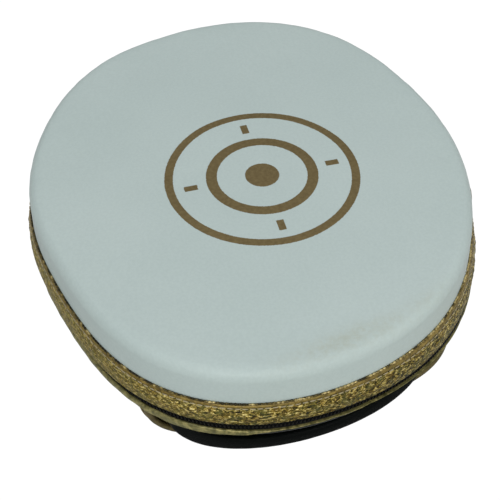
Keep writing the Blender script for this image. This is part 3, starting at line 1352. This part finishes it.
tmp, G = arch_surface("tmp", CUFF, -86.8, -30.2, 0.0, COVER_TOP, 110, 130, cuff_disp, p=CUFF_P)
bpy.data.objects.remove(tmp)
put(shell_from_grid("cuff_outer_leather", G, 1.2), M_BLACK, nodes=("cuff_shell",))
put(soft_layer("cuff_padding_foam", 1.5, 3.3, -86.4, -30.3, CUFF, 0.15, 2.0, end=False, p=CUFF_P), M_FOAM, nodes=("cuff_padding",))
put(soft_layer("cuff_lining_mesh", 5.2, 0.9, -86.8, -30.3, CUFF, 0.25, 6.0, end=False, p=CUFF_P), M_LINING, nodes=("cuff_lining",))

# rolled edge round the cuff's mouth
roll = arch_line(CUFF, -88.2, 3.05, 0.0, 1.0, 150, COVER_TOP - 0.05, CUFF_P)
ring = []
seg = 18
for i in range(len(roll)):
    tt = np.gradient(roll, axis=0)[i]; tt /= np.linalg.norm(tt)
    nrm = np.cross(tt, np.array([0, 1.0, 0])); nrm /= np.linalg.norm(nrm)
    for k in range(seg):
        b = 2 * math.pi * k / seg
        cc, ss = math.cos(b), math.sin(b)
        wr = 3.3 * math.copysign(abs(cc) ** 0.65, cc)
        wy = 2.0 * math.copysign(abs(ss) ** 0.65, ss)
        wig = 0.12 * nz(roll[i][0] * 0.2, roll[i][2] * 0.2, b, 1.0, 3.3)
        ring.append(roll[i] + nrm * (wr + wig) + np.array([0, wy, 0]))
f = [(i * seg + k, (i + 1) * seg + k, (i + 1) * seg + (k + 1) % seg, i * seg + (k + 1) % seg) for i in range(len(roll) - 1) for k in range(seg)]
f += [tuple(range(seg)), tuple((len(roll) - 1) * seg + k for k in range(seg))]
put(recalc(link("cuff_mouth_roll", ring, f)), M_BLACK, nodes=("cuff_mouth_binding",))
cu = arch_line(CUFF, -84.6, -0.1, p=CUFF_P)
stitch_line("cuff_stitch", cu, lift=out_of, mat=M_THREAD)


# ------------------------------------------------------------------ strap
def band_path(d, x0, x1, n=140):
    """arch points at distance d outside the cover's wrist end, from x0 to x1 along the underside"""
    xc, a, zb = -0.25, 62.5 + d, 5.85 - d
    t = np.linspace(0.0005, math.pi - 0.0005, 4000)
    x, z = dsec(xc, a, zb, COVER_TOP - 0.2, t)
    s = np.concatenate([[0], np.cumsum(np.hypot(np.diff(x), np.diff(z)))])
    s0, s1 = np.interp([x0, x1], x, s)
    q = np.linspace(s0, s1, n)
    P = np.stack([np.interp(q, s, x), np.interp(q, s, z)], -1)
    return P, s1 - s0


def strap_piece(name, d0, d1, x0, x1, y0, y1, r0=0.0, r1=0.0, n=120, wave=0.12, seed=0.0, taper=0.0):
    """flat webbing along the arch, with rounded long edges and rounded ends of radius r0 and r1"""
    P, L = band_path((d0 + d1) / 2, x0, x1, n)
    T = np.gradient(P, axis=0); T /= np.linalg.norm(T, axis=1)[:, None]
    Nn = np.stack([T[:, 1], -T[:, 0]], -1)
    Nn *= np.sign((Nn * (P - np.array([-0.2, 40.0]))).sum(1))[:, None]
    th = (d1 - d0) / 2
    hw = (y1 - y0) / 2
    yc = (y0 + y1) / 2
    m = 20
    v = []
    for i in range(n):
        s = i / (n - 1) * L
        w = hw
        for r, q in ((r0, s), (r1, L - s)):
            if r > 0 and q < r:
                w = min(w, hw - r + math.sqrt(max(0.0, r * r - (r - q) ** 2)))
        tk = th * (1.0 if min(s, L - s) > 0.5 else 0.75)
        for k in range(m):
            b = 2 * math.pi * k / m
            c, sn = math.cos(b), math.sin(b)
            yy = w * math.copysign(abs(c) ** 0.35, c)
            hh = tk * math.copysign(abs(sn) ** 0.6, sn)
            wv = wave * nz(s * 0.05, yy * 0.04, 0, 1.0, seed + 1.7)
            p = P[i] + Nn[i] * (hh + wv)
            v.append((p[0], yc + yy, p[1]))
    f = [(i * m + k, (i + 1) * m + k, (i + 1) * m + (k + 1) % m, i * m + (k + 1) % m) for i in range(n - 1) for k in range(m)]
    f += [tuple(range(m)), tuple((n - 1) * m + k for k in range(m))]
    return recalc(link(name, v, f))


YL, YH = STRAP_Y[0] + 1.5, STRAP_Y[1] - 1.5
YM = (YL + YH) / 2
put(strap_piece("strap_fixed_side", 0.45, 1.95, -64.5, 30, *STRAP_Y, r1=6, n=200), M_GOLD, nodes=("strap_base",))
# sewn side of the strap: goes down the thumb side, doubles under and meets the flap
put(strap_piece("strap_sewn_side", 0.45, 1.95, HINGE_X + 3, 64.0, *STRAP_Y, n=120), M_GOLD, nodes=("strap_anchor",))
put(strap_piece("strap_sewn_turn", 2.1, 5.15, HINGE_X + 6.2, HINGE_X + 12.6, STRAP_Y[0] + 0.6, STRAP_Y[1] - 0.6, n=30), M_GOLD)
put(strap_piece("strap_loop_pile", 2.05, 2.7, -48, 8, YL + 0.5, YH - 0.5, 4, 4, wave=0.03), M_PILE, nodes=("strap_loop_patch",))
flap = strap_piece("strap_flap_leather", 3.6, 5.2, FLAP_END_X, HINGE_X + 6.5, YL, YH, 8, 0, n=220, wave=0.05)
paint(flap, M_GOLD)
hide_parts("strap_flap")
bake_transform(flap)
put(strap_piece("strap_hook_tape", 2.95, 3.55, -40, -4, YL + 1.5, YH - 1.5, 4, 4, wave=0.02), M_HOOK, body="strap", nodes=("strap_hook_patch",))
put(strap_piece("strap_grip_end", 3.85, 4.95, FLAP_END_X - 8, FLAP_END_X + 2.0, YM - 7, YM + 7, 3, 0, n=40, wave=0.0), M_BLACK, body="strap", nodes=("strap_grip_tab",))


def hooks():
    """the hook tape's rows of tiny hooks"""
    P, L = band_path(2.95, -38.5, -5.5, 20)
    T = np.gradient(P, axis=0); T /= np.linalg.norm(T, axis=1)[:, None]
    Nn = np.stack([T[:, 1], -T[:, 0]], -1)
    Nn *= -np.sign((Nn * (P - np.array([-0.2, 40.0]))).sum(1))[:, None]
    pts, tans, nors = [], [], []
    for i in range(len(P)):
        for k in range(17):
            y = YL + 3.0 + k * (YH - YL - 6.0) / 16
            p = P[i] + Nn[i] * 0.02
            pts.append((p[0], y, p[1]))
            tans.append((Nn[i][0] + 0.3 * T[i][0], 0.2 if k % 2 else -0.2, Nn[i][1] + 0.3 * T[i][1]))
            nors.append((0, 1, 0))
    return capsule_run("strap_hooks", pts, tans, nors, 0.42, 0.13, 1.0, 5, 3)


put(hooks(), M_HOOK, body="strap")


def strap_stitch(name, d, x0, x1, ys, body=RIDE, mat=None):
    P, L = band_path(d, x0, x1, 200)
    for k, y in enumerate(ys):
        stitch_line("%s_%d" % (name, k), [(p[0], y, p[1]) for p in P], 3.0, 2.1, 0.24, lift=out_of, body=body, mat=mat)


strap_stitch("strap_flap_stitch", 5.2, FLAP_END_X + 7, HINGE_X - 4, (YL + 2.2, YH - 2.2), body="strap")
strap_stitch("strap_sewn_stitch", 2.0, HINGE_X + 15, 63.5, (STRAP_Y[0] + 2.4, STRAP_Y[1] - 2.4))
strap_stitch("strap_fixed_stitch", 2.0, -64.1, -54, (STRAP_Y[0] + 2.4, STRAP_Y[1] - 2.4))
for q, xx in enumerate((HINGE_X + 8.0, HINGE_X + 11.0)):
    P, _ = band_path(5.2, xx - 0.2, xx + 0.2, 5)
    stitch_line("strap_bar_stitch_%d" % q, [(P[2][0], y, P[2][1]) for y in np.linspace(STRAP_Y[0] + 3, STRAP_Y[1] - 3, 40)], 2.6, 1.9, 0.26, lift=out_of)

# ------------------------------------------------------------------ thumb loop
def thumb_loop(name, R, thick, y0, y1, mat, node, puff=0.5, seed=0.0):
    cx, cz = 66.5, 25.5
    n, m = 60, 40
    G = np.zeros((n, m, 3))
    for i in range(n):
        y = y0 + (y1 - y0) * i / (n - 1)
        e = min(i, n - 1 - i) / 4.0
        for j in range(m):
            b = math.radians(88 - 178 * j / (m - 1))
            rr = R + puff * (min(1.0, e) - 1) + 0.22 * nz(y * 0.08, b, 0, 1.0, seed) * min(1, e)
            x, z = cx + rr * math.cos(b), cz + rr * math.sin(b)
            G[i, j] = (max(x, 67.0), y, min(z, COVER_TOP - 0.25))
    v = list(G.reshape(-1, 3))
    I = G.copy()
    for i in range(n):
        for j in range(m):
            d = np.array([G[i, j, 0] - cx, 0, G[i, j, 2] - cz]); d /= np.linalg.norm(d)
            I[i, j] = G[i, j] - d * thick
            I[i, j, 0] = max(I[i, j, 0], 67.0)
    v += list(I.reshape(-1, 3))
    q = n * m
    f = []
    for i in range(n - 1):
        for j in range(m - 1):
            a = i * m + j
            f.append((a, a + 1, a + m + 1, a + m))
            f.append((q + a, q + a + m, q + a + m + 1, q + a + 1))
    for i in range(n - 1):
        for j in (0, m - 1):
            a = i * m + j
            f.append((a, a + m, q + a + m, q + a))
    for j in range(m - 1):
        for i in (0, n - 1):
            a = i * m + j
            f.append((a, a + 1, q + a + 1, q + a))
    o = recalc(link(name, v, f))
    put(o, mat, nodes=(node,))
    return G


Gt = thumb_loop("thumb_loop_leather", 17.0, 1.5, THUMB_Y[0], THUMB_Y[1], M_GOLD, "thumb_loop", seed=1.0)
thumb_loop("thumb_loop_mesh", 15.3, 1.6, THUMB_Y[0] + 1.4, THUMB_Y[1] - 1.4, M_LINING, "thumb_loop_lining", puff=0.2, seed=3.0)
for k, row in enumerate((0, -1)):
    pts = Gt[row].copy()
    pts[:, 1] += 0.2 if row == 0 else -0.2
    put(tube("thumb_loop_binding_%d" % k, pts, 1.15, 8), mat_gold_plain("thumb_binding_%d" % k, 0.8))
    p2 = Gt[3 if row == 0 else -4]
    stitch_line("thumb_loop_stitch_%d" % k, [(p[0] + 0.1, p[1], p[2]) for p in p2[2:-2]], lift=lambda p: np.array([p[0] - 66.5, 0, p[2] - 25.5]))

# ------------------------------------------------------------------ carried-over CAD nodes
for nm, mt, sl_, bev in (("gel_pad", M_GEL, "gel_foam", 0), ("impact_foam", M_FOAMB, "impact_foam", 0), ("core_foam", M_FOAM, "core_foam", 0),
                         ("base_foam", M_FOAM, "core_foam", 0), ("stiffener_board", M_BOARD, "board", 0),
                         ("palm_ball_foam", M_FOAM, "core_foam", 0),
                         ("zip_slider", M_METAL, "zip_metal", 0.18), ("zip_pull_tab", M_METAL, "zip_metal", 0.18),
                         ("zip_end_stops", M_METAL, "zip_metal", 0.12), ("zip_garage", M_GOLD, "gold_plain", 0.25)):
    ob = N[nm]
    paint(ob, mt)
    if bev:
        b = ob.modifiers.new("soft_edges", "BEVEL")
        b.width = bev * MM
        b.segments = 2
        b.limit_method = "ANGLE"
        b.angle_limit = math.radians(35)
        ob.data.polygons.foreach_set("use_smooth", [False] * len(ob.data.polygons))

# ------------------------------------------------------------------ stage
def stage():
    me = bpy.data.meshes.new("floor")
    s = 6.0
    me.from_pydata([(-s, -s, -0.0003), (s, -s, -0.0003), (s, s, -0.0003), (-s, s, -0.0003)], [], [(0, 1, 2, 3)])
    fl = bpy.data.objects.new("floor", me)
    bpy.context.scene.collection.objects.link(fl)
    m = Mat("floor_paper")
    f = m.noise(m.obj(), 30, 3)
    m.color(m.ramp(f, [(0.3, (0.65, 0.66, 0.65)), (0.7, (0.69, 0.70, 0.69))]))
    m.set(Roughness=0.95, Specular_IOR_Level=0.05)
    # seen directly, the sweep reads as plain white paper; it bounces less light back
    em = m.node("ShaderNodeEmission")
    em.inputs["Color"].default_value = (1.0, 1.0, 1.0, 1.0)
    em.inputs["Strength"].default_value = 1.04
    lp = m.node("ShaderNodeLightPath")
    mx = m.node("ShaderNodeMixShader")
    m.link(lp.outputs["Is Camera Ray"], mx.inputs[0])
    m.link(m.b.outputs[0], mx.inputs[1])
    m.link(em.outputs[0], mx.inputs[2])
    # from below the floor is clear, so the back of the mitt can be looked at
    gm = m.node("ShaderNodeNewGeometry")
    under = m.math("MULTIPLY", gm.outputs["Backfacing"], lp.outputs["Is Camera Ray"])
    clear = m.node("ShaderNodeBsdfTransparent")
    mx2 = m.node("ShaderNodeMixShader")
    m.link(under, mx2.inputs[0])
    m.link(mx.outputs[0], mx2.inputs[1])
    m.link(clear.outputs[0], mx2.inputs[2])
    m.link(mx2.outputs[0], m.out.inputs[0])
    paint(fl, m)
    w = bpy.data.worlds.new("studio")
    bpy.context.scene.world = w
    w.use_nodes = True
    wt = w.node_tree
    bg = wt.nodes["Background"]
    geo = wt.nodes.new("ShaderNodeNewGeometry")
    sp = wt.nodes.new("ShaderNodeSeparateXYZ")
    wt.links.new(geo.outputs["Incoming"], sp.inputs[0])
    rp = wt.nodes.new("ShaderNodeMapRange")
    rp.inputs[1].default_value = 0.10; rp.inputs[2].default_value = -0.95
    rp.inputs[3].default_value = 0.0; rp.inputs[4].default_value = 1.0
    wt.links.new(sp.outputs[2], rp.inputs[0])
    cr = wt.nodes.new("ShaderNodeValToRGB")
    cr.color_ramp.elements[0].position = 0.0
    cr.color_ramp.elements[0].color = (0.42, 0.425, 0.42, 1)
    cr.color_ramp.elements[1].position = 1.0
    cr.color_ramp.elements[1].color = (0.72, 0.73, 0.74, 1)
    e = cr.color_ramp.elements.new(0.55)
    e.color = (0.50, 0.505, 0.51, 1)
    wt.links.new(rp.outputs[0], cr.inputs[0])
    wt.links.new(cr.outputs[0], bg.inputs[0])
    bg.inputs[1].default_value = 0.62

    def area(name, loc, target, size, power, size_y=None, color=(1, 1, 1)):
        l = bpy.data.lights.new(name, "AREA")
        l.energy = power
        l.size = size
        l.color = color
        if size_y:
            l.shape = "RECTANGLE"; l.size_y = size_y
        o = bpy.data.objects.new(name, l)
        bpy.context.scene.collection.objects.link(o)
        o.location = loc
        o.rotation_mode = "QUATERNION"
        o.rotation_quaternion = (Vector(target) - Vector(loc)).to_track_quat("-Z", "Y")
        return o

    # soft window light from behind the viewer, and a broad fill from above
    area("window", (-0.40, -1.30, 1.15), (0, 0, 0.05), 0.8, 12.4, color=(1.0, 0.99, 0.97))
    area("ceiling", (0.1, 0.25, 1.6), (0, 0, 0.05), 1.6, 6.7, color=(0.98, 0.99, 1.0))
    area("right_soft", (1.1, -0.9, 0.7), (0, -0.05, 0.05), 0.6, 2.6, color=(1.0, 0.96, 0.90))


stage()
bpy.context.scene.view_settings.view_transform = "Standard"
bpy.context.scene.view_settings.look = "None"
bpy.context.scene.view_settings.exposure = 0.0

cam = bpy.data.cameras.new("camera")
cam.lens = 76.55
cam.sensor_width = 36.0
cam.clip_start, cam.clip_end = 0.01, 20
co = bpy.data.objects.new("camera", cam)
bpy.context.scene.collection.objects.link(co)
right = Vector((0.96938112, -0.24526867, -0.01198017))
up = Vector((0.18544683, 0.69922156, 0.69043369))
back = Vector((-0.16096497, -0.67151507, 0.72329647))
R = Matrix((right, up, back)).transposed()
co.matrix_world = Matrix.Translation(Vector((-77.343, -319.614, 372.870)) * MM) @ R.to_4x4()
bpy.context.scene.camera = co
